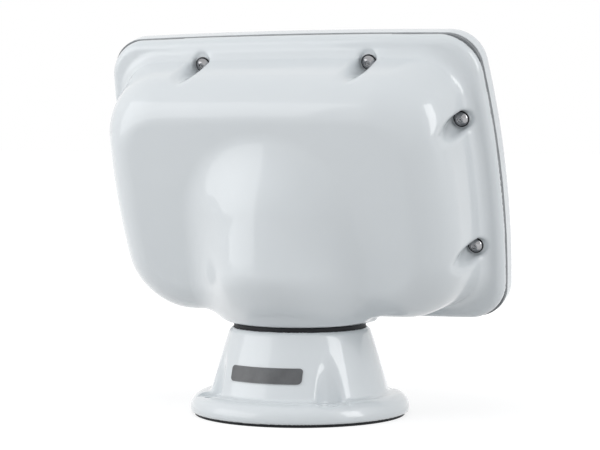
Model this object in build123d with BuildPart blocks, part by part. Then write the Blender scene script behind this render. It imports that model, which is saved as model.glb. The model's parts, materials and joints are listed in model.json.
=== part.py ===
"""Instrument pod on a swivelling pedestal, for a boat's helm or deck.

A tilted watertight housing carries a display in its front panel.  Its neck turns on a
conical pedestal about the vertical axis, on a hollow stem that also passes the cables.
Frame: millimetres, +Z up, origin on the swivel axis at the bottom of the deck gasket.
The front panel faces -Y and the pod's back faces +Y.
"""
import os
from math import cos, pi, radians, sin, tan

from build123d import *

os.makedirs("parts", exist_ok=True)

# ---------------------------------------------------------------- driving dimensions (mm)
SLIDE_FIT = 0.05            # radial clearance of a turning or threaded fit
RUN_GAP = 0.3               # gap between faces that move past each other
ASSEMBLY_GAP = 0.2          # gap round a fixed piece in its pocket or hole

# deck gasket and pedestal
GASKET_RADIUS = 88.5
GASKET_WIDTH = 21.5
GASKET_THICKNESS = 2.5
BEAD_SETBACK = 9.0          # from the gasket's edge to the centre circle of the flange's rounded bead
BEAD_RADIUS = 12.5
BEAD_HEIGHT = 6.2           # height of the bead's centre
CONE_SETBACK = 13.3         # from the gasket's edge to the cone's foot
CONE_TOP_LEDGE = 0.4        # the cone's top is this much wider than the neck
CONE_BULGE = 0.7            # the cone's side is slightly convex
CONE_TOP_ROUND = 4.0
PEDESTAL_HEIGHT = 73.5
PEDESTAL_WALL = 4.5
PEDESTAL_DECK = 6.0         # thickness of the pedestal's top
DECK_HOLE_SETBACK = 9.125   # from the gasket's edge to the centre of each deck screw hole
DECK_HOLE_RADIUS = 3.4
DECK_HOLE_COUNT = 4
POCKET_RADIUS = 13.0        # scallop that lets a driver reach each deck screw
POCKET_FLOOR = 13.5
POCKET_WALL = 4.0

# blank badge on the back of the pedestal
BADGE_WIDTH = 64.0
BADGE_HEIGHT = 12.5
BADGE_THICKNESS = 0.8
BADGE_FILM = 0.15           # adhesive behind the badge
BADGE_CENTRE_HEIGHT = 39.0
BADGE_CORNER = 3.0

# swivel
SWIVEL_GAP = 3.5            # between the pedestal's top and the neck's underside
SEAL_SETBACK = 2.5          # from the neck's edge to the ring seal's edge
SEAL_WIDTH = 5.0
SEAL_GROOVE = 1.5
STEM_BORE_RADIUS = 13.0
STEM_WALL = 4.0
STEM_TAIL = 1.2             # what the stem shows below its nut
STEM_FLANGE_THICKNESS = 4.0
BUSH_WALL = 3.0
BUSH_LIP = 6.0              # how far the bush flanges stand out from the bushes
BUSH_FLANGE_THICKNESS = 2.0
BUSH_LENGTH = 12.0
BEARING_WALL = 7.0
BEARING_FLANGE_THICKNESS = 6.0
BEARING_LENGTH = 30.0
SWIVEL_SCREW_COUNT = 4      # of the bearing screws, and of the stem screws
SWIVEL_SCREW_ANGLE = 45     # degrees, of the first of them
BEARING_SCREW_SETBACK = 6.0  # of the bearing screws from the stem flange's edge
BEARING_SCREW_RADIUS = 3.0
BEARING_SCREW_HEAD_RADIUS = 6.0
BEARING_SCREW_LENGTH = 12.0
STOP_PIN_RADIUS = 2.0
STOP_MARGIN = 4.2           # of the stop pin's circle from the ring seal and from the stem flange
STOP_TRAVEL = 175.0         # degrees each way
STOP_GROOVE_DEPTH = 3.0
STEM_SCREW_SETBACK = 12.0   # of the stem screws from the stem flange's edge
STEM_SCREW_RADIUS = 3.0
STEM_SCREW_HEAD_RADIUS = 5.0
STEM_SCREW_HEAD_HEIGHT = 4.0
STEM_WASHER_RADIUS = 6.2
STEM_WASHER_THICKNESS = 1.2
DISC_SPRING_THICKNESS = 1.2
DISC_SPRING_HEIGHT = 2.6
PRESSURE_WASHER_THICKNESS = 1.5
NUT_WALL = 8.0              # from the stem's thread to each flat
NUT_HEIGHT = 9.0
LOCK_SCREW_RADIUS = 2.0

# pod
TILT = 18.0                 # degrees, the top of the front panel leans back
PANEL_CENTRE_Y = -12.0      # centre of the joint plane between panel and housing
PANEL_RISE = 121.7          # height of that centre above the swivel plane
FACE_HALF_WIDTH = 174.0
FACE_HALF_HEIGHT = 123.5
FACE_SIDE_BULGE = 9.0
FACE_TOP_BULGE = 2.4
FACE_CORNER = 29.0
RIM_THICKNESS = 9.0
RIM_ROUND = 7.5
BODY_INSET = 15.0           # from the rim's edge to the foot of the body's wall
BODY_DEPTH = 78.0
BODY_DRAFT = 6.0            # degrees
BODY_FOOT_CORNER = 42.0
BODY_BACK_CORNER = 53.0
BODY_SHOULDER = 31.0
HOUSING_WALL = 4.0
NECK_RADIUS = 58.0
NECK_DISC = 2.0             # the round foot of the neck, under the front panel
NECK_REACH = 30.0           # how far the neck's centre moves back as it rises
NECK_SWING_HEIGHT = 45.0    # over this height
NECK_DOME_RISE = 91.0       # height of the dome's centre above the swivel plane
NECK_WALL = 5.0
NECK_FLOOR = 8.5
SEAL_STRIP_THICKNESS = 3.5
SEAL_STRIP_INSET = 0.4
SEAL_STRIP_WIDTH = 8.0
SIDE_SCREW_SETBACK = 24.0   # of the side screws from the rim's edge
SIDE_SCREW_Y = 54.0
TOP_SCREW_SETBACK = 21.5    # of the top and bottom screws from the rim's edge
TOP_SCREW_X = 76.0
SCREW_POCKET_RADIUS = 8.0
SCREW_POCKET_WALL = 3.0
SCREW_SEAT = 10.0           # depth of the pocket's floor behind the joint plane
SCREW_RADIUS = 2.45
SCREW_HEAD_RADIUS = 6.0
SCREW_HEAD_HEIGHT = 3.6
SCREW_SEAL_THICKNESS = 1.0
SCREW_SEAL_LIP = 0.6        # how far each seal washer shows round its screw head
SCREW_LENGTH = 21.0
HEX_SOCKET = 4.0            # across flats
COUNTERSINK_ANGLE = 90      # degrees
EDGE_BREAK_SHARE = 0.1      # of a seal's width or a screw head's radius
HEAD_EDGE = 1.0             # height of a button head's straight edge
DOME_SHOULDER = 0.72        # fullness of the button head's dome
SOCKET_PIN_RADIUS = 0.6     # pin in the tamper-resistant socket
SOCKET_DEPTH = 1.8
PANEL_DEPTH = 18.0
PANEL_THICKNESS = 5.0
PANEL_EDGE_ROUND = 9.0
PANEL_WALL = 8.0
INSERT_RADIUS = 3.6
INSERT_LENGTH = 9.0
INSERT_BOSS_RADIUS = 6.5
CUTOUT_SIDE_BORDER = 39.0
CUTOUT_TOP_BORDER = 37.5
CUTOUT_CORNER = 8.0
DISPLAY_SEAT_MARGIN = 11.0
DISPLAY_SEAT_DEPTH = 1.0
DISPLAY_HOLE_MARGIN = 6.0   # of the display's screw holes from the cut-out's edge
DISPLAY_HOLE_Y = 60.0
DISPLAY_HOLE_RADIUS = 2.65
GROMMET_STEP = 0.5          # how much narrower the grommet is than the stem's bore
GROMMET_WALL = 3.5
GROMMET_LIP = 3.0
GROMMET_THICKNESS = 2.0

# ---------------------------------------------------------------- worked-out values
GASKET_INNER_RADIUS = GASKET_RADIUS - GASKET_WIDTH
BEAD_RING_RADIUS = GASKET_RADIUS - BEAD_SETBACK
CONE_FOOT_RADIUS = GASKET_RADIUS - CONE_SETBACK
CONE_FOOT_HEIGHT = BEAD_HEIGHT + (BEAD_RADIUS**2 - (BEAD_RING_RADIUS - CONE_FOOT_RADIUS) ** 2) ** 0.5
BEAD_FOOT_RADIUS = BEAD_RING_RADIUS + (BEAD_RADIUS**2 - (BEAD_HEIGHT - GASKET_THICKNESS) ** 2) ** 0.5
CONE_TOP_RADIUS = NECK_RADIUS + CONE_TOP_LEDGE
CONE_SLOPE = (CONE_FOOT_RADIUS - CONE_TOP_RADIUS) / (PEDESTAL_HEIGHT - CONE_FOOT_HEIGHT)
DECK_HOLE_PCD = 2 * (GASKET_RADIUS - DECK_HOLE_SETBACK)
DECK_UNDERSIDE = PEDESTAL_HEIGHT - PEDESTAL_DECK
SWIVEL_PLANE = PEDESTAL_HEIGHT + SWIVEL_GAP    # height of the neck's underside
SEAL_RADIUS = NECK_RADIUS - SEAL_SETBACK
SEAL_INNER_RADIUS = SEAL_RADIUS - SEAL_WIDTH
STOP_CIRCLE = SEAL_INNER_RADIUS - STOP_MARGIN
STEM_FLANGE_RADIUS = STOP_CIRCLE - STOP_MARGIN
STEM_SCREW_CIRCLE = STEM_FLANGE_RADIUS - STEM_SCREW_SETBACK
BEARING_FLANGE_RADIUS = STOP_CIRCLE
BEARING_SCREW_CIRCLE = STEM_FLANGE_RADIUS - BEARING_SCREW_SETBACK
STEM_RADIUS = STEM_BORE_RADIUS + STEM_WALL
BUSH_BORE = STEM_RADIUS + SLIDE_FIT
BUSH_RADIUS = BUSH_BORE + BUSH_WALL
BUSH_FLANGE_RADIUS = BUSH_RADIUS + BUSH_LIP
BEARING_BORE = BUSH_RADIUS + SLIDE_FIT
BEARING_BOSS_RADIUS = BEARING_BORE + BEARING_WALL
BEARING_FOOT = PEDESTAL_HEIGHT - BEARING_LENGTH
LOWER_BUSH_FACE = BEARING_FOOT - BUSH_FLANGE_THICKNESS
PRESSURE_WASHER_TOP = LOWER_BUSH_FACE - ASSEMBLY_GAP
PRESSURE_WASHER_FOOT = PRESSURE_WASHER_TOP - PRESSURE_WASHER_THICKNESS
NUT_TOP = PRESSURE_WASHER_FOOT - DISC_SPRING_HEIGHT
NUT_FOOT = NUT_TOP - NUT_HEIGHT
NUT_RADIUS = STEM_RADIUS + NUT_WALL    # half the nut's size across flats
STEM_FOOT = NUT_FOOT - STEM_TAIL
STEM_FLANGE_TOP = SWIVEL_PLANE + STEM_FLANGE_THICKNESS
NECK_FLOOR_TOP = SWIVEL_PLANE + NECK_FLOOR
NECK_DISC_TOP = SWIVEL_PLANE + NECK_DISC
STOP_LUG_WIDTH = 2 * STOP_CIRCLE * sin(radians(180 - STOP_TRAVEL)) - 2 * STOP_PIN_RADIUS

PANEL_CENTRE_Z = SWIVEL_PLANE + PANEL_RISE
NECK_DOME_HEIGHT = SWIVEL_PLANE + NECK_DOME_RISE
SIDE_SCREW_X = FACE_HALF_WIDTH - SIDE_SCREW_SETBACK
TOP_SCREW_Y = FACE_HALF_HEIGHT - TOP_SCREW_SETBACK
CUTOUT_WIDTH = 2 * (FACE_HALF_WIDTH - CUTOUT_SIDE_BORDER)
CUTOUT_HEIGHT = 2 * (FACE_HALF_HEIGHT - CUTOUT_TOP_BORDER)
DISPLAY_HOLE_X = CUTOUT_WIDTH / 2 + DISPLAY_HOLE_MARGIN

# The joint plane between front panel and rear housing: local x to the right and y up
# as seen from behind, local z into the depth of the housing.
lean = radians(TILT)
rear = Plane(
    origin=(0, PANEL_CENTRE_Y, PANEL_CENTRE_Z),
    x_dir=(-1, 0, 0),
    z_dir=(0, cos(lean), -sin(lean)),
)
depth_axis = Axis(rear.origin, rear.z_dir)
deck_hole_angle = 360 / DECK_HOLE_COUNT / 2
screw_points = [(side * SIDE_SCREW_X, level * SIDE_SCREW_Y) for side in (-1, 1) for level in (-1, 1)]
screw_points += [(side * TOP_SCREW_X, level * TOP_SCREW_Y) for side in (-1, 1) for level in (-1, 1)]
display_holes = [(side * DISPLAY_HOLE_X, level * DISPLAY_HOLE_Y) for side in (-1, 1) for level in (-1, 1)]


# ---------------------------------------------------------------- shared outlines
def face_sketch(plane, inset, corner):
    """Rounded rectangle with slightly bowed sides, on the given plane."""
    half_width = FACE_HALF_WIDTH - inset
    half_height = FACE_HALF_HEIGHT - inset
    corner_x = half_width - FACE_SIDE_BULGE
    corner_y = half_height - FACE_TOP_BULGE
    with BuildSketch(plane) as outline:
        with BuildLine():
            ThreePointArc((corner_x, -corner_y), (half_width, 0), (corner_x, corner_y))
            ThreePointArc((corner_x, corner_y), (0, half_height), (-corner_x, corner_y))
            ThreePointArc((-corner_x, corner_y), (-half_width, 0), (-corner_x, -corner_y))
            ThreePointArc((-corner_x, -corner_y), (0, -half_height), (corner_x, -corner_y))
        make_face()
        fillet(outline.vertices(), corner)
    return outline.sketch


def cone_side(grow):
    """The pedestal's slightly convex side, moved outwards by grow, in the current line."""
    middle_radius = (CONE_FOOT_RADIUS + CONE_TOP_RADIUS) / 2 + CONE_BULGE + grow
    middle_height = (CONE_FOOT_HEIGHT + PEDESTAL_HEIGHT) / 2
    return ThreePointArc(
        (CONE_FOOT_RADIUS + grow, CONE_FOOT_HEIGHT),
        (middle_radius, middle_height),
        (CONE_TOP_RADIUS + grow, PEDESTAL_HEIGHT),
    )


def ring_profile(inner, outer, low, high):
    """Rectangle from inner to outer radius and from low to high, in the current XZ sketch."""
    with Locations(((inner + outer) / 2, (low + high) / 2)):
        Rectangle(outer - inner, high - low)


def neck_shift(height):
    """How far back the neck's centre lies at this height."""
    swing = min(1.0, (height - SWIVEL_PLANE) / NECK_SWING_HEIGHT)
    return NECK_REACH * sin(swing * pi / 2)


# ---------------------------------------------------------------- pedestal body
with BuildPart() as pedestal_cavity:
    with BuildSketch(Plane.XZ) as cavity_profile:
        with BuildLine():
            foot = CONE_FOOT_RADIUS - PEDESTAL_WALL
            top = CONE_TOP_RADIUS + CONE_SLOPE * PEDESTAL_DECK - PEDESTAL_WALL
            Polyline(
                (0, GASKET_THICKNESS),
                (foot, GASKET_THICKNESS),
                (foot, CONE_FOOT_HEIGHT),
                (top, DECK_UNDERSIDE),
                (0, DECK_UNDERSIDE),
                close=True,
            )
        make_face()
    revolve(axis=Axis.Z)
    with BuildSketch(Plane.XY):
        with PolarLocations(DECK_HOLE_PCD / 2, DECK_HOLE_COUNT, deck_hole_angle):
            Circle(POCKET_RADIUS + POCKET_WALL)
    extrude(amount=PEDESTAL_HEIGHT, mode=Mode.SUBTRACT)

with BuildPart() as pedestal_shell:
    with BuildSketch(Plane.XZ):
        with BuildLine():
            Polyline((0, PEDESTAL_HEIGHT), (0, GASKET_THICKNESS), (BEAD_FOOT_RADIUS, GASKET_THICKNESS))
            ThreePointArc(
                (BEAD_FOOT_RADIUS, GASKET_THICKNESS),
                (BEAD_RING_RADIUS + BEAD_RADIUS * cos(pi / 6), BEAD_HEIGHT + BEAD_RADIUS * sin(pi / 6)),
                (CONE_FOOT_RADIUS, CONE_FOOT_HEIGHT),
            )
            cone_side(0)
            Line((CONE_TOP_RADIUS, PEDESTAL_HEIGHT), (0, PEDESTAL_HEIGHT))
        make_face()
    revolve(axis=Axis.Z)
    top_edge = pedestal_shell.edges().filter_by(GeomType.CIRCLE).group_by(Axis.Z)[-1]
    fillet(top_edge, CONE_TOP_ROUND)
    add(pedestal_cavity.part, mode=Mode.SUBTRACT)
    # scallops and holes for the deck screws
    with BuildSketch(Plane.XY.offset(POCKET_FLOOR)):
        with PolarLocations(DECK_HOLE_PCD / 2, DECK_HOLE_COUNT, deck_hole_angle):
            Circle(POCKET_RADIUS)
    extrude(amount=PEDESTAL_HEIGHT, mode=Mode.SUBTRACT)
    with BuildSketch(Plane.XY):
        with PolarLocations(DECK_HOLE_PCD / 2, DECK_HOLE_COUNT, deck_hole_angle):
            Circle(DECK_HOLE_RADIUS)
    extrude(amount=POCKET_FLOOR, mode=Mode.SUBTRACT)
    # bearing spigot hole, seal groove, stop pin hole and countersunk bearing screw holes
    with BuildSketch(Plane.XY.offset(DECK_UNDERSIDE)):
        Circle(BEARING_BOSS_RADIUS + ASSEMBLY_GAP)
    extrude(amount=PEDESTAL_DECK, mode=Mode.SUBTRACT)
    with BuildSketch(Plane.XY.offset(PEDESTAL_HEIGHT)):
        Circle(SEAL_RADIUS + ASSEMBLY_GAP)
        Circle(SEAL_INNER_RADIUS - ASSEMBLY_GAP, mode=Mode.SUBTRACT)
    extrude(amount=-SEAL_GROOVE, mode=Mode.SUBTRACT)
    with BuildSketch(Plane.XY.offset(PEDESTAL_HEIGHT)):
        with Locations((0, -STOP_CIRCLE)):
            Circle(STOP_PIN_RADIUS + SLIDE_FIT)
    extrude(amount=-PEDESTAL_DECK, mode=Mode.SUBTRACT)
    with Locations((0, 0, PEDESTAL_HEIGHT)):
        with PolarLocations(BEARING_SCREW_CIRCLE, SWIVEL_SCREW_COUNT, SWIVEL_SCREW_ANGLE):
            CounterSinkHole(
                BEARING_SCREW_RADIUS + ASSEMBLY_GAP,
                BEARING_SCREW_HEAD_RADIUS + ASSEMBLY_GAP,
                depth=PEDESTAL_DECK,
                counter_sink_angle=COUNTERSINK_ANGLE,
            )
pedestal_shell.part.label = "pedestal_shell"
export_step(pedestal_shell.part, "parts/pedestal_shell.step")

with BuildPart() as deck_gasket:
    with BuildSketch():
        Circle(GASKET_RADIUS)
        Circle(GASKET_INNER_RADIUS, mode=Mode.SUBTRACT)
        with PolarLocations(DECK_HOLE_PCD / 2, DECK_HOLE_COUNT, deck_hole_angle):
            Circle(DECK_HOLE_RADIUS, mode=Mode.SUBTRACT)
    extrude(amount=GASKET_THICKNESS)
deck_gasket.part.label = "deck_gasket"
export_step(deck_gasket.part, "parts/deck_gasket.step")

with BuildPart() as badge_plate:
    with BuildSketch(Plane.XZ):
        with BuildLine():
            inner = cone_side(BADGE_FILM)
            outer = cone_side(BADGE_FILM + BADGE_THICKNESS)
            Line(inner @ 0, outer @ 0)
            Line(inner @ 1, outer @ 1)
        make_face()
    revolve(axis=Axis.Z)
    with BuildSketch(Plane.XZ.offset(-BEAD_RING_RADIUS)):
        with Locations((0, BADGE_CENTRE_HEIGHT)):
            RectangleRounded(BADGE_WIDTH, BADGE_HEIGHT, BADGE_CORNER)
    extrude(amount=BEAD_RING_RADIUS, mode=Mode.INTERSECT)
badge_plate.part.label = "badge_plate"
export_step(badge_plate.part, "parts/badge_plate.step")

with BuildPart() as bearing_housing:
    with BuildSketch(Plane.XZ):
        ring_profile(BEARING_BORE, BEARING_BOSS_RADIUS, BEARING_FOOT, PEDESTAL_HEIGHT)
        flange_foot = DECK_UNDERSIDE - BEARING_FLANGE_THICKNESS
        ring_profile(BEARING_BORE, BEARING_FLANGE_RADIUS, flange_foot, DECK_UNDERSIDE)
    revolve(axis=Axis.Z)
    with BuildSketch(Plane.XY.offset(DECK_UNDERSIDE)):
        with PolarLocations(BEARING_SCREW_CIRCLE, SWIVEL_SCREW_COUNT, SWIVEL_SCREW_ANGLE):
            Circle(BEARING_SCREW_RADIUS + SLIDE_FIT)
    extrude(amount=-BEARING_FLANGE_THICKNESS, mode=Mode.SUBTRACT)
bearing_housing.part.label = "bearing_housing"
export_step(bearing_housing.part, "parts/bearing_housing.step")

with BuildPart() as bearing_screws:
    with PolarLocations(BEARING_SCREW_CIRCLE, SWIVEL_SCREW_COUNT, SWIVEL_SCREW_ANGLE):
        with Locations((0, 0, PEDESTAL_HEIGHT - BEARING_SCREW_LENGTH)):
            Cylinder(
                BEARING_SCREW_RADIUS,
                BEARING_SCREW_LENGTH,
                align=(Align.CENTER, Align.CENTER, Align.MIN),
            )
        with Locations((0, 0, PEDESTAL_HEIGHT)):
            head = BEARING_SCREW_HEAD_RADIUS - BEARING_SCREW_RADIUS
            Cone(
                BEARING_SCREW_RADIUS,
                BEARING_SCREW_HEAD_RADIUS,
                head,
                align=(Align.CENTER, Align.CENTER, Align.MAX),
            )
    with BuildSketch(Plane.XY.offset(PEDESTAL_HEIGHT)):
        with PolarLocations(BEARING_SCREW_CIRCLE, SWIVEL_SCREW_COUNT, SWIVEL_SCREW_ANGLE):
            RegularPolygon(HEX_SOCKET / 2, 6, major_radius=False)
    extrude(amount=-HEX_SOCKET / 2, mode=Mode.SUBTRACT)
bearing_screws.part.label = "bearing_screws"
export_step(bearing_screws.part, "parts/bearing_screws.step")

with BuildPart() as upper_bush:
    with BuildSketch(Plane.XZ):
        ring_profile(BUSH_BORE, BUSH_RADIUS, PEDESTAL_HEIGHT - BUSH_LENGTH, PEDESTAL_HEIGHT)
        flange_top = PEDESTAL_HEIGHT + BUSH_FLANGE_THICKNESS
        ring_profile(BUSH_BORE, BUSH_FLANGE_RADIUS, PEDESTAL_HEIGHT, flange_top)
    revolve(axis=Axis.Z)
upper_bush.part.label = "upper_bush"
export_step(upper_bush.part, "parts/upper_bush.step")

with BuildPart() as lower_bush:
    with BuildSketch(Plane.XZ):
        ring_profile(BUSH_BORE, BUSH_RADIUS, BEARING_FOOT, BEARING_FOOT + BUSH_LENGTH)
        ring_profile(BUSH_BORE, BUSH_FLANGE_RADIUS, LOWER_BUSH_FACE, BEARING_FOOT)
    revolve(axis=Axis.Z)
lower_bush.part.label = "lower_bush"
export_step(lower_bush.part, "parts/lower_bush.step")

with BuildPart() as thrust_washer:
    with BuildSketch(Plane.XZ):
        washer_bore = BUSH_FLANGE_RADIUS + ASSEMBLY_GAP
        ring_profile(washer_bore, STEM_FLANGE_RADIUS, PEDESTAL_HEIGHT, SWIVEL_PLANE - RUN_GAP)
    revolve(axis=Axis.Z)
thrust_washer.part.label = "thrust_washer"
export_step(thrust_washer.part, "parts/thrust_washer.step")

with BuildPart() as swivel_seal:
    with BuildSketch(Plane.XZ):
        groove_floor = PEDESTAL_HEIGHT - SEAL_GROOVE
        ring_profile(SEAL_INNER_RADIUS, SEAL_RADIUS, groove_floor, SWIVEL_PLANE - RUN_GAP)
    revolve(axis=Axis.Z)
    chamfer(swivel_seal.edges().group_by(Axis.Z)[-1], SEAL_WIDTH * EDGE_BREAK_SHARE)
swivel_seal.part.label = "swivel_seal"
export_step(swivel_seal.part, "parts/swivel_seal.step")

with BuildPart() as stop_pin:
    with BuildSketch(Plane.XY.offset(DECK_UNDERSIDE)):
        with Locations((0, -STOP_CIRCLE)):
            Circle(STOP_PIN_RADIUS)
    extrude(amount=SWIVEL_PLANE + STOP_GROOVE_DEPTH - RUN_GAP - DECK_UNDERSIDE)
    chamfer(stop_pin.edges().group_by(Axis.Z)[-1], STOP_PIN_RADIUS / 4)
stop_pin.part.label = "stop_pin"
export_step(stop_pin.part, "parts/stop_pin.step")

# ---------------------------------------------------------------- swivel stem, on the pod
with BuildPart() as swivel_stem:
    with BuildSketch(Plane.XZ):
        ring_profile(STEM_BORE_RADIUS, STEM_RADIUS, STEM_FOOT, STEM_FLANGE_TOP)
        ring_profile(STEM_BORE_RADIUS, STEM_FLANGE_RADIUS, SWIVEL_PLANE, STEM_FLANGE_TOP)
    revolve(axis=Axis.Z)
    with BuildSketch(Plane.XY.offset(STEM_FLANGE_TOP)):
        with PolarLocations(STEM_SCREW_CIRCLE, SWIVEL_SCREW_COUNT, SWIVEL_SCREW_ANGLE):
            Circle(STEM_SCREW_RADIUS + SLIDE_FIT)
    extrude(amount=-STEM_FLANGE_THICKNESS, mode=Mode.SUBTRACT)
swivel_stem.part.label = "swivel_stem"
export_step(swivel_stem.part, "parts/swivel_stem.step")

with BuildPart() as stem_washers:
    with BuildSketch(Plane.XY.offset(NECK_FLOOR_TOP)):
        with PolarLocations(STEM_SCREW_CIRCLE, SWIVEL_SCREW_COUNT, SWIVEL_SCREW_ANGLE):
            Circle(STEM_WASHER_RADIUS)
            Circle(STEM_SCREW_RADIUS + ASSEMBLY_GAP, mode=Mode.SUBTRACT)
    extrude(amount=STEM_WASHER_THICKNESS)
stem_washers.part.label = "stem_washers"
export_step(stem_washers.part, "parts/stem_washers.step")

with BuildPart() as stem_screws:
    head_seat = NECK_FLOOR_TOP + STEM_WASHER_THICKNESS
    with BuildSketch(Plane.XY.offset(head_seat)):
        with PolarLocations(STEM_SCREW_CIRCLE, SWIVEL_SCREW_COUNT, SWIVEL_SCREW_ANGLE):
            Circle(STEM_SCREW_HEAD_RADIUS)
    extrude(amount=STEM_SCREW_HEAD_HEIGHT)
    chamfer(stem_screws.edges().group_by(Axis.Z)[-1], STEM_SCREW_HEAD_RADIUS * EDGE_BREAK_SHARE)
    with BuildSketch(Plane.XY.offset(head_seat + STEM_SCREW_HEAD_HEIGHT)):
        with PolarLocations(STEM_SCREW_CIRCLE, SWIVEL_SCREW_COUNT, SWIVEL_SCREW_ANGLE):
            RegularPolygon(HEX_SOCKET / 2, 6, major_radius=False)
    extrude(amount=-HEX_SOCKET / 2, mode=Mode.SUBTRACT)
    with BuildSketch(Plane.XY.offset(head_seat)):
        with PolarLocations(STEM_SCREW_CIRCLE, SWIVEL_SCREW_COUNT, SWIVEL_SCREW_ANGLE):
            Circle(STEM_SCREW_RADIUS)
    extrude(amount=SWIVEL_PLANE + ASSEMBLY_GAP - head_seat)
stem_screws.part.label = "stem_screws"
export_step(stem_screws.part, "parts/stem_screws.step")

with BuildPart() as cable_grommet:
    grommet_bore = STEM_BORE_RADIUS - GROMMET_STEP
    collar_radius = grommet_bore + GROMMET_WALL
    with BuildSketch(Plane.XZ):
        ring_profile(grommet_bore, collar_radius, STEM_FLANGE_TOP, NECK_FLOOR_TOP + GROMMET_THICKNESS)
        ring_profile(
            grommet_bore,
            collar_radius + GROMMET_LIP,
            NECK_FLOOR_TOP,
            NECK_FLOOR_TOP + GROMMET_THICKNESS,
        )
    revolve(axis=Axis.Z)
    fillet(cable_grommet.edges().group_by(Axis.Z)[-1], GROMMET_THICKNESS / 3)
cable_grommet.part.label = "cable_grommet"
export_step(cable_grommet.part, "parts/cable_grommet.step")

with BuildPart() as pressure_washer:
    with BuildSketch(Plane.XZ):
        washer_bore = STEM_RADIUS + ASSEMBLY_GAP
        ring_profile(washer_bore, BUSH_FLANGE_RADIUS, PRESSURE_WASHER_FOOT, PRESSURE_WASHER_TOP)
    revolve(axis=Axis.Z)
pressure_washer.part.label = "pressure_washer"
export_step(pressure_washer.part, "parts/pressure_washer.step")

with BuildPart() as disc_spring:
    with BuildSketch(Plane.XZ):
        with BuildLine():
            Polyline(
                (STEM_RADIUS + ASSEMBLY_GAP, NUT_TOP),
                (NUT_RADIUS, PRESSURE_WASHER_FOOT - DISC_SPRING_THICKNESS),
                (NUT_RADIUS, PRESSURE_WASHER_FOOT),
                (STEM_RADIUS + ASSEMBLY_GAP, NUT_TOP + DISC_SPRING_THICKNESS),
                close=True,
            )
        make_face()
    revolve(axis=Axis.Z)
disc_spring.part.label = "disc_spring"
export_step(disc_spring.part, "parts/disc_spring.step")

with BuildPart() as clamp_nut:
    with BuildSketch(Plane.XY.offset(NUT_FOOT)):
        RegularPolygon(NUT_RADIUS, 6, major_radius=False)
        Circle(STEM_RADIUS + SLIDE_FIT, mode=Mode.SUBTRACT)
    extrude(amount=NUT_HEIGHT)
    with BuildSketch(Plane.XY.offset(NUT_FOOT)):
        Circle(NUT_RADIUS - ASSEMBLY_GAP)
    extrude(amount=NUT_HEIGHT, taper=-30, mode=Mode.INTERSECT)
    with BuildSketch(Plane((0, NUT_RADIUS, NUT_FOOT + NUT_HEIGHT / 2), z_dir=(0, -1, 0))):
        Circle(LOCK_SCREW_RADIUS + SLIDE_FIT)
    extrude(amount=NUT_WALL, mode=Mode.SUBTRACT)
clamp_nut.part.label = "clamp_nut"
export_step(clamp_nut.part, "parts/clamp_nut.step")

with BuildPart() as nut_lock_screw:
    with BuildSketch(Plane((0, STEM_RADIUS + SLIDE_FIT, NUT_FOOT + NUT_HEIGHT / 2), z_dir=(0, 1, 0))):
        Circle(LOCK_SCREW_RADIUS)
    extrude(amount=NUT_WALL - RUN_GAP)
nut_lock_screw.part.label = "nut_lock_screw"
export_step(nut_lock_screw.part, "parts/nut_lock_screw.step")

# ---------------------------------------------------------------- pod housing
def body_shape(wall, start_depth):
    """The tapered body behind the rim, shrunk inwards by wall, added to the current part."""
    slope = tan(radians(BODY_DRAFT))
    side_wall = wall / cos(radians(BODY_DRAFT))
    back_depth = BODY_DEPTH - wall
    foot_inset = BODY_INSET + side_wall + (start_depth - RIM_THICKNESS) * slope
    back_inset = BODY_INSET + side_wall + (back_depth - RIM_THICKNESS) * slope
    foot = face_sketch(rear.offset(start_depth), foot_inset, BODY_FOOT_CORNER - wall)
    back = face_sketch(rear.offset(back_depth), back_inset, BODY_BACK_CORNER - wall)
    return loft([foot, back])


def neck_shape(wall, floor):
    """The neck, shrunk inwards by wall, from the height floor up to its dome."""
    rise = NECK_SWING_HEIGHT + SWIVEL_PLANE
    steps = 5
    sections = []
    for step in range(steps + 1):
        height = floor + (rise - floor) * step / steps
        with BuildSketch(Plane((0, neck_shift(height), height))) as section:
            Circle(NECK_RADIUS - wall)
        sections.append(section.sketch)
    loft(sections)
    extrude(sections[-1], amount=NECK_DOME_HEIGHT - rise)
    with Locations((0, NECK_REACH, NECK_DOME_HEIGHT)):
        Sphere(NECK_RADIUS - wall)


def trim_front(plane):
    """Cut away everything in front of the plane from the current part."""
    with BuildSketch(plane) as half_space:
        Rectangle(4 * FACE_HALF_WIDTH, 4 * FACE_HALF_HEIGHT)
    extrude(half_space.sketch, amount=-2 * FACE_HALF_HEIGHT, mode=Mode.SUBTRACT)


with BuildPart() as rim:
    extrude(face_sketch(rear, 0, FACE_CORNER), amount=RIM_THICKNESS)
    fillet(rim.faces().sort_by(depth_axis)[-1].edges(), RIM_ROUND)

with BuildPart() as neck_cavity:
    neck_shape(NECK_WALL, NECK_FLOOR_TOP)
    trim_front(rear.offset(RIM_THICKNESS))

with BuildPart() as housing_cavity:
    body_shape(HOUSING_WALL, 0)
    fillet(housing_cavity.faces().sort_by(depth_axis)[-1].edges(), BODY_SHOULDER - HOUSING_WALL)
    # the walls round the screw pockets stay solid
    with BuildSketch(rear):
        with Locations(*screw_points):
            Circle(SCREW_POCKET_RADIUS + SCREW_POCKET_WALL)
    extrude(amount=BODY_DEPTH, mode=Mode.SUBTRACT)

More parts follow.
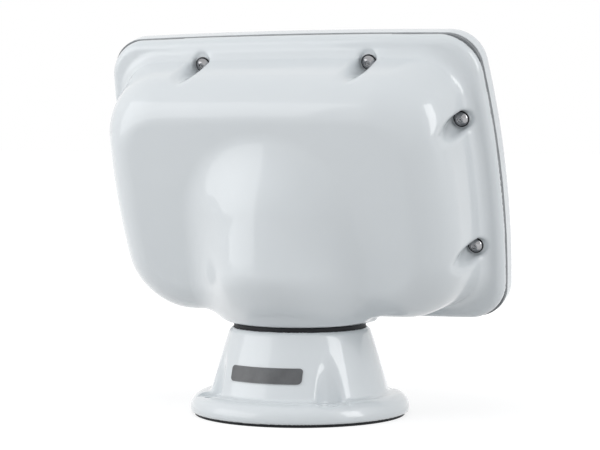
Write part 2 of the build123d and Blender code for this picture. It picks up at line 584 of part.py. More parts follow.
with BuildPart() as rear_housing:
    body_shape(0, RIM_THICKNESS)
    fillet(rear_housing.faces().sort_by(depth_axis)[-1].edges(), BODY_SHOULDER)
    neck_shape(0, NECK_DISC_TOP)
    add(rim.part)
    trim_front(rear)
    with BuildSketch(Plane.XY.offset(SWIVEL_PLANE)):
        Circle(NECK_RADIUS)
    extrude(amount=NECK_DISC)
    add(housing_cavity.part, mode=Mode.SUBTRACT)
    add(neck_cavity.part, mode=Mode.SUBTRACT)
    # screw pockets and holes
    with BuildSketch(rear.offset(SCREW_SEAT)):
        with Locations(*screw_points):
            Circle(SCREW_POCKET_RADIUS)
    extrude(amount=BODY_DEPTH, mode=Mode.SUBTRACT)
    with BuildSketch(rear):
        with Locations(*screw_points):
            Circle(SCREW_RADIUS + ASSEMBLY_GAP)
    extrude(amount=SCREW_SEAT, mode=Mode.SUBTRACT)
    # underside of the neck: seat of the stem flange, stop groove with its lug, holes
    with BuildSketch(Plane.XY.offset(SWIVEL_PLANE)):
        Circle(STEM_FLANGE_RADIUS + ASSEMBLY_GAP)
    extrude(amount=STEM_FLANGE_THICKNESS, mode=Mode.SUBTRACT)
    with BuildSketch(Plane.XY.offset(SWIVEL_PLANE)):
        Circle(STOP_CIRCLE + STOP_PIN_RADIUS + RUN_GAP)
        Circle(STOP_CIRCLE - STOP_PIN_RADIUS - RUN_GAP, mode=Mode.SUBTRACT)
        with Locations((0, STOP_CIRCLE)):
            Rectangle(STOP_LUG_WIDTH, 4 * STOP_PIN_RADIUS, mode=Mode.SUBTRACT)
    extrude(amount=STOP_GROOVE_DEPTH, mode=Mode.SUBTRACT)
    with BuildSketch(Plane.XY.offset(SWIVEL_PLANE)):
        Circle(collar_radius + ASSEMBLY_GAP)
        with PolarLocations(STEM_SCREW_CIRCLE, SWIVEL_SCREW_COUNT, SWIVEL_SCREW_ANGLE):
            Circle(STEM_SCREW_RADIUS + ASSEMBLY_GAP)
    extrude(amount=NECK_FLOOR, mode=Mode.SUBTRACT)
rear_housing.part.label = "rear_housing"
export_step(rear_housing.part, "parts/rear_housing.step")

with BuildPart() as perimeter_seal:
    seal_face = face_sketch(rear, SEAL_STRIP_INSET, FACE_CORNER - SEAL_STRIP_INSET)
    seal_hole_inset = SEAL_STRIP_INSET + SEAL_STRIP_WIDTH
    seal_hole = face_sketch(rear, seal_hole_inset, FACE_CORNER - seal_hole_inset)
    extrude(seal_face, amount=-SEAL_STRIP_THICKNESS)
    extrude(seal_hole, amount=-SEAL_STRIP_THICKNESS, mode=Mode.SUBTRACT)
perimeter_seal.part.label = "perimeter_seal"
export_step(perimeter_seal.part, "parts/perimeter_seal.step")

with BuildPart() as front_panel:
    panel_back = rear.offset(-SEAL_STRIP_THICKNESS)
    panel_face = rear.offset(-SEAL_STRIP_THICKNESS - PANEL_DEPTH)
    extrude(face_sketch(panel_back, 0, FACE_CORNER), amount=-PANEL_DEPTH)
    fillet(front_panel.faces().sort_by(depth_axis)[0].edges(), PANEL_EDGE_ROUND)
    hollow = face_sketch(panel_back, PANEL_WALL, FACE_CORNER - PANEL_WALL)
    extrude(hollow, amount=PANEL_THICKNESS - PANEL_DEPTH, mode=Mode.SUBTRACT)
    with BuildSketch(panel_back):
        with Locations(*screw_points):
            Circle(INSERT_BOSS_RADIUS)
    extrude(amount=PANEL_THICKNESS - PANEL_DEPTH)
    with BuildSketch(panel_back):
        with Locations(*screw_points):
            Circle(INSERT_RADIUS + SLIDE_FIT)
    extrude(amount=-INSERT_LENGTH, mode=Mode.SUBTRACT)
    # cut-out, seat and screw holes for the display
    with BuildSketch(panel_face):
        RectangleRounded(CUTOUT_WIDTH, CUTOUT_HEIGHT, CUTOUT_CORNER)
        with Locations(*display_holes):
            Circle(DISPLAY_HOLE_RADIUS)
    extrude(amount=PANEL_DEPTH, mode=Mode.SUBTRACT)
    with BuildSketch(panel_face):
        RectangleRounded(
            CUTOUT_WIDTH + 2 * DISPLAY_SEAT_MARGIN,
            CUTOUT_HEIGHT + 2 * DISPLAY_SEAT_MARGIN,
            CUTOUT_CORNER + DISPLAY_SEAT_MARGIN / 2,
        )
    extrude(amount=DISPLAY_SEAT_DEPTH, mode=Mode.SUBTRACT)
front_panel.part.label = "front_panel"
export_step(front_panel.part, "parts/front_panel.step")

with BuildPart() as threaded_inserts:
    with BuildSketch(panel_back):
        with Locations(*screw_points):
            Circle(INSERT_RADIUS)
            Circle(SCREW_RADIUS + SLIDE_FIT, mode=Mode.SUBTRACT)
    extrude(amount=-INSERT_LENGTH)
threaded_inserts.part.label = "threaded_inserts"
export_step(threaded_inserts.part, "parts/threaded_inserts.step")

with BuildPart() as screw_seals:
    with BuildSketch(rear.offset(SCREW_SEAT)):
        with Locations(*screw_points):
            Circle(SCREW_HEAD_RADIUS + SCREW_SEAL_LIP)
            Circle(SCREW_RADIUS + ASSEMBLY_GAP, mode=Mode.SUBTRACT)
    extrude(amount=SCREW_SEAL_THICKNESS)
screw_seals.part.label = "screw_seals"
export_step(screw_seals.part, "parts/screw_seals.step")

with BuildPart() as button_screw:
    with BuildSketch(Plane.XZ):
        with BuildLine():
            Polyline(
                (SCREW_HEAD_RADIUS, HEAD_EDGE),
                (SCREW_HEAD_RADIUS, 0),
                (SCREW_RADIUS, 0),
                (SCREW_RADIUS, -SCREW_LENGTH),
                (0, -SCREW_LENGTH),
                (0, SCREW_HEAD_HEIGHT),
            )
            dome_turn = sin(radians(45))
            ThreePointArc(
                (0, SCREW_HEAD_HEIGHT),
                (
                    SCREW_HEAD_RADIUS * dome_turn,
                    HEAD_EDGE + (SCREW_HEAD_HEIGHT - HEAD_EDGE) * DOME_SHOULDER,
                ),
                (SCREW_HEAD_RADIUS, HEAD_EDGE),
            )
        make_face()
    revolve(axis=Axis.Z)
    with BuildSketch(Plane.XY.offset(SCREW_HEAD_HEIGHT)):
        RegularPolygon(HEX_SOCKET / 2, 6, major_radius=False)
        Circle(SOCKET_PIN_RADIUS, mode=Mode.SUBTRACT)
    extrude(amount=-SOCKET_DEPTH, mode=Mode.SUBTRACT)

with BuildPart() as housing_screws:
    with Locations(rear.offset(SCREW_SEAT + SCREW_SEAL_THICKNESS)):
        with Locations(*screw_points):
            add(button_screw.part)
housing_screws.part.label = "housing_screws"
export_step(housing_screws.part, "parts/housing_screws.step")
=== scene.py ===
"""Looks of the swivel instrument pod: finishes, softly blended shells, light and camera.

Everything is in metres in the part's own frame: +Z up, origin on the swivel axis at the
bottom of the deck gasket, front panel towards -Y, the pod's back towards +Y.
"""

import json
from math import cos, pi, radians, sin, tan

import bpy
import numpy as np
import openvdb
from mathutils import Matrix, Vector


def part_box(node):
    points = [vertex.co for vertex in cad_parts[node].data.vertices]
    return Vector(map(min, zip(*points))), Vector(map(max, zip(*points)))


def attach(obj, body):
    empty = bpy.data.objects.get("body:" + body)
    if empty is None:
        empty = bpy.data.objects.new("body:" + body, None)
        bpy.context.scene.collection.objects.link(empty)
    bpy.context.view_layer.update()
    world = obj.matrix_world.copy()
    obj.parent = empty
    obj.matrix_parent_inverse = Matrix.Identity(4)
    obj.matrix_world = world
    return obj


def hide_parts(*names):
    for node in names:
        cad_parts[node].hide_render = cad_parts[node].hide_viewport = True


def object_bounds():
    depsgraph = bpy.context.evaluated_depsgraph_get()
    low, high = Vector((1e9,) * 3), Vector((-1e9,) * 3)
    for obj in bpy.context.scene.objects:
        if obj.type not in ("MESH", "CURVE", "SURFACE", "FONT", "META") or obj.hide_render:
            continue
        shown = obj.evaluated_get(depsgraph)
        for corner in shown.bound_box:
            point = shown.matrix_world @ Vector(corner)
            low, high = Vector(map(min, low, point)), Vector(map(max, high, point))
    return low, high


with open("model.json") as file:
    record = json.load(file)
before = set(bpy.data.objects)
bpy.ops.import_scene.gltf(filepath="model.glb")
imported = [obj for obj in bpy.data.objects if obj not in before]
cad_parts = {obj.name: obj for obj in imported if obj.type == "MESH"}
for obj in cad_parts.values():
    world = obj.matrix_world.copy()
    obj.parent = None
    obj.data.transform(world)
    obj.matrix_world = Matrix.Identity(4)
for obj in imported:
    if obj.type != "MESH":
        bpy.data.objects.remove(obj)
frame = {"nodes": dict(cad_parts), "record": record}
cad_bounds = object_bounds()
nodes = frame["nodes"]
record = frame["record"]
mounts = {mount["name"]: mount for mount in record["mounts"]}
swivel = record["behaviour"]["joints"][0]
MM = 0.001

# ---------------------------------------------------------------- sizes that the frame gives
shell_low, shell_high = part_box("pedestal_shell")
housing_low, housing_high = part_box("rear_housing")
GASKET_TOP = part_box("deck_gasket")[1].z
SWIVEL_PLANE = swivel["pos_m"][2]
PEDESTAL_TOP = shell_high.z
BOLT_CORNER = mounts["deck_bolts"]["dims"]["pcd_mm"] / 2 * MM * cos(pi / 4)
FACE_HALF_WIDTH = housing_high.x
DEPTH_DIRECTION = -Vector(mounts["display_seat"]["axis"])    # into the housing, towards its back
UP_DIRECTION = Vector((0, -DEPTH_DIRECTION.z, DEPTH_DIRECTION.y))


def mesh_points(node):
    """The vertices of a CAD node as an array of points."""
    mesh = nodes[node].data
    points = np.zeros(len(mesh.vertices) * 3, np.float32)
    mesh.vertices.foreach_get("co", points)
    return points.reshape(-1, 3)


# The seal lies in the joint between panel and housing, set in by the same amount all round.
seal_points = mesh_points("perimeter_seal")
seal_up = seal_points @ np.array(UP_DIRECTION)
seal_depth = seal_points @ np.array(DEPTH_DIRECTION)
SEAL_INSET = FACE_HALF_WIDTH - seal_points[:, 0].max()
FACE_HALF_HEIGHT = (seal_up.max() - seal_up.min()) / 2 + SEAL_INSET
JOINT_DEPTH = seal_depth.max()
JOINT_UP = (seal_up.max() + seal_up.min()) / 2

# ---------------------------------------------------------------- shape of the pod
FACE_SIDE_BULGE = 9.0 * MM
FACE_TOP_BULGE = 2.4 * MM
FACE_CORNER = 29.0 * MM
RIM_THICKNESS = 9.0 * MM
RIM_ROUND = 7.5 * MM
BODY_INSET = 15.0 * MM
BODY_DEPTH = 78.0 * MM
BODY_DRAFT = radians(6)
BODY_FOOT_CORNER = 28.0 * MM
BODY_BACK_CORNER = 53.0 * MM
BODY_SHOULDER = 31.0 * MM
HOUSING_WALL = 4.0 * MM
NECK_RADIUS = 58.0 * MM
NECK_DISC = 2.0 * MM
NECK_REACH = 30.0 * MM
NECK_SWING_HEIGHT = 45.0 * MM
NECK_DOME_RISE = 91.0 * MM
NECK_WALL = 5.0 * MM
NECK_FLOOR = 8.5 * MM
SCREW_POCKET_RADIUS = 8.0 * MM
SCREW_POCKET_WALL = 3.0 * MM
SCREW_SEAT = 10.0 * MM
SCREW_HOLE_RADIUS = 2.65 * MM
SIDE_SCREW_SETBACK = 24.0 * MM
SIDE_SCREW_UP = 54.0 * MM
TOP_SCREW_SETBACK = 21.5 * MM
TOP_SCREW_X = 76.0 * MM
SIDE_SCREW_X = FACE_HALF_WIDTH - SIDE_SCREW_SETBACK
TOP_SCREW_UP = FACE_HALF_HEIGHT - TOP_SCREW_SETBACK
VALLEY_FILLET = 9.0 * MM        # between the rim and the body's wall
NECK_FILLET = 28.0 * MM         # between the neck and the body
POCKET_LIP = 5.0 * MM           # rounding of the screw pockets' edges
POCKET_RUNOUT = 0.15            # how fast a pocket moves outward as it gets deeper
EDGE_EASE = 0.8 * MM            # rounding of an edge that looks sharp
JOINT_EASE = 1.1 * MM           # rounding of the rim's edge at the joint
FLARE_WIDTH = 12.0 * MM         # the underside rises over this much beyond the neck's foot
FLARE_SLOPE = 0.3               # and this steeply
FLANGE_RECESS_RADIUS = 42.3 * MM
FLANGE_RECESS_DEPTH = 4.0 * MM
GROMMET_HOLE_RADIUS = 16.2 * MM
GROMMET_HOLE_HEIGHT = 2 * NECK_FLOOR    # right through the neck's floor
STOP_CIRCLE = 46.3 * MM
STOP_GROOVE_HALF_WIDTH = 2.7 * MM
STOP_GROOVE_DEPTH = 3.8 * MM
STOP_LUG_HALF_WIDTH = 1.2 * MM

# ---------------------------------------------------------------- shape of the pedestal
BEAD_RING_RADIUS = 79.5 * MM
BEAD_RADIUS = 12.5 * MM
BEAD_HEIGHT = 6.2 * MM
CONE_FOOT_RADIUS = 75.2 * MM
CONE_FOOT_HEIGHT = 17.9 * MM
CONE_TOP_RADIUS = 58.4 * MM
CONE_BULGE = 0.7 * MM
CONE_TOP_ROUND = 4.0 * MM
CONE_FOOT_FILLET = 2.5 * MM
PEDESTAL_WALL = 4.5 * MM
PEDESTAL_DECK = 6.0 * MM
DECK_HOLE_RADIUS = 3.4 * MM
SCALLOP_RADIUS = 13.0 * MM
SCALLOP_FLOOR = 16.5 * MM
SCALLOP_WALL = 4.0 * MM
SCALLOP_LIP = 2.5 * MM
SPIGOT_HOLE_RADIUS = 27.4 * MM
SEAL_GROOVE_INNER = 50.3 * MM
SEAL_GROOVE_OUTER = 55.7 * MM
SEAL_GROOVE_DEPTH = 1.5 * MM

# ---------------------------------------------------------------- shape of the housing screws
SCREW_HEAD_SEAT = 11.0 * MM
SCREW_HEAD_RADIUS = 6.0 * MM
SCREW_HEAD_HEIGHT = 3.6 * MM
SCREW_SHANK_RADIUS = 2.45 * MM
SCREW_LENGTH = 21.0 * MM
SCREW_EASE = 0.25 * MM
SOCKET_HALF_FLATS = 2.0 * MM
SOCKET_DEPTH = 1.8 * MM
SOCKET_PIN_RADIUS = 0.6 * MM

# ---------------------------------------------------------------- fineness of the meshes
SHELL_VOXEL = 1.7 * MM
PEDESTAL_VOXEL = 1.3 * MM
SCREW_VOXEL = 0.33 * MM
NORMAL_STEP = 0.1 * MM
BAND_VOXELS = 3                 # a field is kept this far either side of its surface
PROJECTION_STEPS = 3            # moves of each point onto the exact surface
GRADIENT_FLOOR = 0.25           # keeps such a move finite where a field is flat


# ---------------------------------------------------------------- fields
# A field is negative inside a solid and positive outside. Near the surface it is close to the
# distance in metres, so solids are joined, cut and rounded by arithmetic on their fields.
def round_max(a, b, radius):
    """Intersection of two fields with a rounded edge."""
    inside = np.minimum(np.maximum(a, b), -radius)
    return np.hypot(np.maximum(a + radius, 0), np.maximum(b + radius, 0)) + inside


def fillet_min(a, b, radius):
    """Union of two fields with a fillet in the corner between them."""
    return -round_max(-a, -b, radius)


def carve(solid, cutter, radius):
    """The solid without the cutter, with a rounded lip."""
    return round_max(solid, -cutter, radius)


def bowed_rectangle(x, up, inset, corner):
    """A rounded rectangle with bowed sides, inset from the outline of the pod's face."""
    half_width = FACE_HALF_WIDTH - inset
    half_height = FACE_HALF_HEIGHT - inset
    side_radius = ((half_height - FACE_TOP_BULGE) ** 2 + FACE_SIDE_BULGE**2) / (2 * FACE_SIDE_BULGE)
    top_radius = ((half_width - FACE_SIDE_BULGE) ** 2 + FACE_TOP_BULGE**2) / (2 * FACE_TOP_BULGE)
    side = np.hypot(np.abs(x) - half_width + side_radius, up) - side_radius
    top = np.hypot(x, np.abs(up) - half_height + top_radius) - top_radius
    return round_max(side, top, corner)


def body_field(x, up, depth, wall):
    """The pod's tapered body, shrunk inwards by wall."""
    inset = BODY_INSET + wall / cos(BODY_DRAFT) + (depth - RIM_THICKNESS) * tan(BODY_DRAFT)
    share = np.clip((depth - RIM_THICKNESS) / (BODY_DEPTH - RIM_THICKNESS), 0, 1)
    corner = BODY_FOOT_CORNER + (BODY_BACK_CORNER - BODY_FOOT_CORNER) * share - wall
    side = bowed_rectangle(x, up, inset, corner) * cos(BODY_DRAFT)
    return round_max(side, depth - BODY_DEPTH + wall, BODY_SHOULDER - wall)


def neck_field(x, y, z, wall):
    """The neck with its dome, shrunk inwards by wall."""
    swing = np.clip((z - SWIVEL_PLANE) / NECK_SWING_HEIGHT, 0, 1)
    behind = y - NECK_REACH * np.sin(swing * pi / 2)
    above_dome = np.maximum(z - SWIVEL_PLANE - NECK_DOME_RISE, 0)
    return np.sqrt(x**2 + behind**2 + above_dome**2) - NECK_RADIUS + wall


def screw_distance(x, up, outward=0):
    """Distance across to the nearest housing screw's axis, or to one moved outward."""
    side_x = SIDE_SCREW_X + outward
    top_up = TOP_SCREW_UP + outward
    side = np.hypot(np.abs(x) - side_x, np.abs(up) - SIDE_SCREW_UP)
    top = np.hypot(np.abs(x) - TOP_SCREW_X, np.abs(up) - top_up)
    return np.minimum(side, top)


def pod_coordinates(y, z):
    """Height up the tilted face and depth behind the joint plane."""
    up = y * UP_DIRECTION.y + z * UP_DIRECTION.z - JOINT_UP
    depth = y * DEPTH_DIRECTION.y + z * DEPTH_DIRECTION.z - JOINT_DEPTH
    return up, depth


def housing_field(x, y, z):
    """The rear housing: rim, body and neck in one skin, hollow, with its pockets and holes."""
    up, depth = pod_coordinates(y, z)
    radius = np.hypot(x, y)
    rim = round_max(bowed_rectangle(x, up, 0, FACE_CORNER), depth - RIM_THICKNESS, RIM_ROUND)
    skin = fillet_min(rim, body_field(x, up, depth, 0), VALLEY_FILLET)
    skin = fillet_min(skin, neck_field(x, y, z, 0), NECK_FILLET)
    flare = np.clip(radius - NECK_RADIUS, 0, FLARE_WIDTH) * FLARE_SLOPE
    skin = np.maximum(skin, SWIVEL_PLANE + flare - z)
    lift = z - SWIVEL_PLANE
    foot = np.maximum(radius - NECK_RADIUS, lift - NECK_DISC)
    skin = np.minimum(skin, foot)

    screws = screw_distance(x, up)
    runout = np.maximum(depth - SCREW_SEAT, 0) * POCKET_RUNOUT
    pocket = np.maximum(screw_distance(x, up, runout) - SCREW_POCKET_RADIUS, SCREW_SEAT - depth)
    skin = carve(skin, pocket, POCKET_LIP)

    chamber = np.maximum(body_field(x, up, depth, HOUSING_WALL), -depth - HOUSING_WALL)
    chamber = carve(chamber, screws - SCREW_POCKET_RADIUS - SCREW_POCKET_WALL, EDGE_EASE)
    neck_hollow = np.maximum(neck_field(x, y, z, NECK_WALL), SWIVEL_PLANE + NECK_FLOOR - z)
    neck_hollow = np.maximum(neck_hollow, RIM_THICKNESS - depth)
    hollow = fillet_min(chamber, neck_hollow, HOUSING_WALL)
    shell = carve(skin, hollow, EDGE_EASE)
    shell = round_max(shell, -depth, JOINT_EASE)
    shell = round_max(shell, SWIVEL_PLANE - z, EDGE_EASE)
    # Positive all through each screw hole, falling to nothing on its axis.
    shell = np.maximum(shell, np.minimum(SCREW_HOLE_RADIUS - screws, screws))

    recess = np.maximum(radius - FLANGE_RECESS_RADIUS, lift - FLANGE_RECESS_DEPTH)
    off_circle = np.abs(radius - STOP_CIRCLE)
    groove = np.maximum(off_circle - STOP_GROOVE_HALF_WIDTH, lift - STOP_GROOVE_DEPTH)
    lug = np.maximum(np.abs(x) - STOP_LUG_HALF_WIDTH, -y)
    groove = np.maximum(groove, -lug)
    hole = np.maximum(radius - GROMMET_HOLE_RADIUS, lift - GROMMET_HOLE_HEIGHT)
    for cutter in (recess, groove, hole):
        shell = np.maximum(shell, -cutter)
    return shell


def pedestal_field(x, y, z):
    """The pedestal shell: flange, cone, scallops, hollow inside and grooves in its top."""
    radius = np.hypot(x, y)
    bead = np.hypot(radius - BEAD_RING_RADIUS, z - BEAD_HEIGHT) - BEAD_RADIUS
    bead = np.minimum(bead, np.maximum(radius - BEAD_RING_RADIUS, z - BEAD_HEIGHT - BEAD_RADIUS))
    share = (z - CONE_FOOT_HEIGHT) / (PEDESTAL_TOP - CONE_FOOT_HEIGHT)
    slope = (CONE_FOOT_RADIUS - CONE_TOP_RADIUS) / (PEDESTAL_TOP - CONE_FOOT_HEIGHT)
    side = CONE_FOOT_RADIUS + (CONE_TOP_RADIUS - CONE_FOOT_RADIUS) * share
    # A parabola that stands out by CONE_BULGE halfway up.
    side = side + 4 * CONE_BULGE * share * (1 - share)
    cone = (radius - side) / (1 + slope**2) ** 0.5
    cone = round_max(cone, z - PEDESTAL_TOP, CONE_TOP_ROUND)
    skin = fillet_min(bead, cone, CONE_FOOT_FILLET)

    bolt = np.hypot(np.abs(x) - BOLT_CORNER, np.abs(y) - BOLT_CORNER)
    scallop = np.maximum(bolt - SCALLOP_RADIUS, SCALLOP_FLOOR - z)
    skin = carve(skin, scallop, SCALLOP_LIP)

    inner_side = np.minimum(side, CONE_FOOT_RADIUS) - PEDESTAL_WALL
    hollow = np.maximum(radius - inner_side, z - PEDESTAL_TOP + PEDESTAL_DECK)
    hollow = carve(hollow, bolt - SCALLOP_RADIUS - SCALLOP_WALL, EDGE_EASE)
    shell = np.maximum(skin, -hollow)
    shell = round_max(shell, GASKET_TOP - z, EDGE_EASE)
    shell = carve(shell, bolt - DECK_HOLE_RADIUS, EDGE_EASE)

    seal_middle = (SEAL_GROOVE_INNER + SEAL_GROOVE_OUTER) / 2
    seal_half = (SEAL_GROOVE_OUTER - SEAL_GROOVE_INNER) / 2
    groove = np.maximum(np.abs(radius - seal_middle) - seal_half, PEDESTAL_TOP - SEAL_GROOVE_DEPTH - z)
    for cutter in (groove, radius - SPIGOT_HOLE_RADIUS):
        shell = np.maximum(shell, -cutter)
    return shell


def screw_field(x, y, z):
    """A button-head screw, its head standing on z = 0: dome, socket with centre pin, shank."""
    radius = np.hypot(x, y)
    dome = (SCREW_HEAD_RADIUS**2 + SCREW_HEAD_HEIGHT**2) / (2 * SCREW_HEAD_HEIGHT)
    head = np.hypot(radius, z - SCREW_HEAD_HEIGHT + dome) - dome
    head = round_max(head, -z, SCREW_EASE)
    flats = []
    for turn in (0, pi / 3, 2 * pi / 3):
        flats.append(np.abs(x * cos(turn) + y * sin(turn)) - SOCKET_HALF_FLATS)
    hexagon = np.maximum.reduce(flats)
    socket = np.maximum(hexagon, SCREW_HEAD_HEIGHT - SOCKET_DEPTH - z)
    socket = np.maximum(socket, SOCKET_PIN_RADIUS - radius)
    head = carve(head, socket, SCREW_EASE)
    shank = np.maximum(radius - SCREW_SHANK_RADIUS, np.maximum(z, -z - SCREW_LENGTH))
    return np.minimum(head, shank)


def field_gradient(field, points):
    """Gradient of a field at the points, by central differences."""
    gradient = np.zeros_like(points)
    for axis in range(3):
        step = np.zeros(3)
        step[axis] = NORMAL_STEP
        ahead = field(*(points + step).T)
        behind = field(*(points - step).T)
        gradient[:, axis] = (ahead - behind) / (2 * NORMAL_STEP)
    return gradient


def surface(field, low, high, voxel):
    """Points and quads of the field's zero surface inside the box from low to high."""
    band = BAND_VOXELS * voxel
    low = np.array(low) - band
    counts = np.ceil((np.array(high) + band - low) / voxel).astype(int)
    axes = [low[axis] + voxel * np.arange(counts[axis]) for axis in range(3)]
    values = field(*np.meshgrid(*axes, indexing="ij"))
    values = np.clip(values, -band, band).astype(np.float32)
    grid = openvdb.FloatGrid(band)
    grid.copyFromArray(values)
    cells, quads = grid.convertToQuads(0.0)
    points = low + voxel * cells.astype(float)
    for _ in range(PROJECTION_STEPS):
        gradient = field_gradient(field, points)
        steepness = np.maximum((gradient**2).sum(1), GRADIENT_FLOOR)
        move = -(field(*points.T) / steepness)[:, None] * gradient
        points = points + np.clip(move, -voxel / 2, voxel / 2)
    return points, quads[:, ::-1]


def add_piece(name, points, quads):
    """A smooth-shaded object with the given points and quads."""
    mesh = bpy.data.meshes.new(name)
    mesh.from_pydata(points.tolist(), [], quads.tolist())
    mesh.validate()
    mesh.shade_smooth()
    piece = bpy.data.objects.new(name, mesh)
    bpy.context.scene.collection.objects.link(piece)
    return piece


def screw_places():
    """Sideways place and height up the face of each housing screw."""
    for flank in (-1, 1):
        for level in (-1, 1):
            yield flank * SIDE_SCREW_X, level * SIDE_SCREW_UP
            yield flank * TOP_SCREW_X, level * TOP_SCREW_UP


def screw_meshes():
    """One screw's surface, repeated at each place behind the joint plane."""
    low = (-SCREW_HEAD_RADIUS, -SCREW_HEAD_RADIUS, -SCREW_LENGTH)
    high = (SCREW_HEAD_RADIUS, SCREW_HEAD_RADIUS, SCREW_HEAD_HEIGHT)
    points, quads = surface(screw_field, low, high, SCREW_VOXEL)
    sideways = np.array((1.0, 0.0, 0.0))
    up = np.array(UP_DIRECTION)
    back = np.array(DEPTH_DIRECTION)
    turned = points @ np.array((sideways, up, back))
    all_points = []
    all_quads = []
    for count, (x, height) in enumerate(screw_places()):
        seat = x * sideways + (JOINT_UP + height) * up + (JOINT_DEPTH + SCREW_HEAD_SEAT) * back
        all_points.append(turned + seat)
        all_quads.append(quads + count * len(points))
    return np.concatenate(all_points), np.concatenate(all_quads)


# ---------------------------------------------------------------- the blended pieces
housing = add_piece("rear_housing_skin", *surface(housing_field, housing_low, housing_high, SHELL_VOXEL))
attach(housing, "pod")
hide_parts("rear_housing")

pedestal = add_piece("pedestal_skin", *surface(pedestal_field, shell_low, shell_high, PEDESTAL_VOXEL))
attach(pedestal, "base")
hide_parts("pedestal_shell")

button_screws = add_piece("button_screws", *screw_meshes())
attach(button_screws, "pod")
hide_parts("housing_screws")


# ---------------------------------------------------------------- materials
MICRON = 0.000001
NOISE_LOW = 0.3                 # most of a noise lies between these two
NOISE_HIGH = 0.7
GELCOAT_PLAIN = (0.72, 0.75, 0.76)      # only where a viewer leaves the noise out
GELCOAT_DARK = (0.685, 0.722, 0.745)
GELCOAT_LIGHT = (0.705, 0.740, 0.762)
COAT_ROUGHNESS = 0.03
RUBBER_SPECULAR = 0.25
RUBBER_SPREAD = 0.08            # roughness either side of its middle
PLASTIC_SPREAD = 0.06
METAL_SMOOTH = 0.7              # least and greatest share of a metal's roughness
METAL_ROUGH = 1.4
EVEN = (1, 1, 1)                # stretch of the marks: the same every way
TURNED = (0.2, 0.2, 1)          # drawn out across the axis
FINELY_TURNED = (0.1, 0.1, 1)


def new_material(name, colour, roughness, metallic=0.0):
    """A material with its Principled shader's plain values set."""
    material = bpy.data.materials.new(name)
    material.use_nodes = True
    shader = material.node_tree.nodes["Principled BSDF"]
    shader.inputs["Base Color"].default_value = (*colour, 1)
    shader.inputs["Roughness"].default_value = roughness
    shader.inputs["Metallic"].default_value = metallic
    return material


def add_noise(material, scale, detail, stretch=EVEN):
    """A noise texture in the part's own frame, scale in features per metre."""
    tree = material.node_tree
    place = tree.nodes.new("ShaderNodeTexCoord")
    mapping = tree.nodes.new("ShaderNodeMapping")
    mapping.inputs["Scale"].default_value = stretch
    noise = tree.nodes.new("ShaderNodeTexNoise")
    noise.inputs["Scale"].default_value = scale
    noise.inputs["Detail"].default_value = detail
    tree.links.new(place.outputs["Object"], mapping.inputs["Vector"])
    tree.links.new(mapping.outputs["Vector"], noise.inputs["Vector"])
    return noise.outputs["Fac"]


def vary_colour(material, pattern, low, high):
    """Base colour between two near shades by the pattern."""
    tree = material.node_tree
    ramp = tree.nodes.new("ShaderNodeValToRGB")
    low_stop, high_stop = ramp.color_ramp.elements
    low_stop.position = NOISE_LOW
    high_stop.position = NOISE_HIGH
    low_stop.color = (*low, 1)
    high_stop.color = (*high, 1)
    tree.links.new(pattern, ramp.inputs["Fac"])
    tree.links.new(ramp.outputs["Color"], tree.nodes["Principled BSDF"].inputs["Base Color"])


def vary_roughness(material, pattern, low, high):
    """Roughness between two values by the pattern."""
    tree = material.node_tree
    spread = tree.nodes.new("ShaderNodeMapRange")
    spread.inputs["To Min"].default_value = low
    spread.inputs["To Max"].default_value = high
    tree.links.new(pattern, spread.inputs["Value"])
    tree.links.new(spread.outputs["Result"], tree.nodes["Principled BSDF"].inputs["Roughness"])


def add_bump(material, pattern, height):
    """Bump of the given height in metres by the pattern."""
    tree = material.node_tree
    bump = tree.nodes.new("ShaderNodeBump")
    bump.inputs["Strength"].default_value = 1.0
    bump.inputs["Distance"].default_value = height
    tree.links.new(pattern, bump.inputs["Height"])
    tree.links.new(bump.outputs["Normal"], tree.nodes["Principled BSDF"].inputs["Normal"])


def gelcoat():
    """Glossy cool white moulded shell with a faint orange peel."""
    material = new_material("white_gelcoat", GELCOAT_PLAIN, roughness=0.3)
    shader = material.node_tree.nodes["Principled BSDF"]
    shader.inputs["Coat Weight"].default_value = 1.0
    shader.inputs["Coat Roughness"].default_value = COAT_ROUGHNESS
    vary_colour(material, add_noise(material, scale=9, detail=3), GELCOAT_DARK, GELCOAT_LIGHT)
    vary_roughness(material, add_noise(material, scale=60, detail=4), low=0.36, high=0.46)
    add_bump(material, add_noise(material, scale=260, detail=2), height=12 * MICRON)
    return material


def rubber(name, low, high, roughness):
    """Moulded rubber with a fine grain."""
    material = new_material(name, high, roughness)
    shader = material.node_tree.nodes["Principled BSDF"]
    shader.inputs["Specular IOR Level"].default_value = RUBBER_SPECULAR
    vary_colour(material, add_noise(material, scale=140, detail=5), low, high)
    wear = add_noise(material, scale=300, detail=4)
    vary_roughness(material, wear, roughness - RUBBER_SPREAD, roughness + RUBBER_SPREAD)
    add_bump(material, add_noise(material, scale=1800, detail=3), height=60 * MICRON)
    return material


def metal(name, low, high, roughness, stretch, bump):
    """Metal with fine marks, either even or drawn out by the stretch."""
    material = new_material(name, high, roughness, metallic=1.0)
    marks = add_noise(material, scale=900, detail=6, stretch=stretch)
    vary_colour(material, add_noise(material, scale=120, detail=4), low, high)
    vary_roughness(material, marks, roughness * METAL_SMOOTH, roughness * METAL_ROUGH)
    add_bump(material, marks, bump)
    return material


def plastic(name, low, high, roughness, bump):
    """Moulded or printed plastic with a fine grain."""
    material = new_material(name, high, roughness)
    vary_colour(material, add_noise(material, scale=90, detail=4), low, high)
    wear = add_noise(material, scale=400, detail=3)
    vary_roughness(material, wear, roughness - PLASTIC_SPREAD, roughness + PLASTIC_SPREAD)
    add_bump(material, add_noise(material, scale=2200, detail=2), bump)
    return material


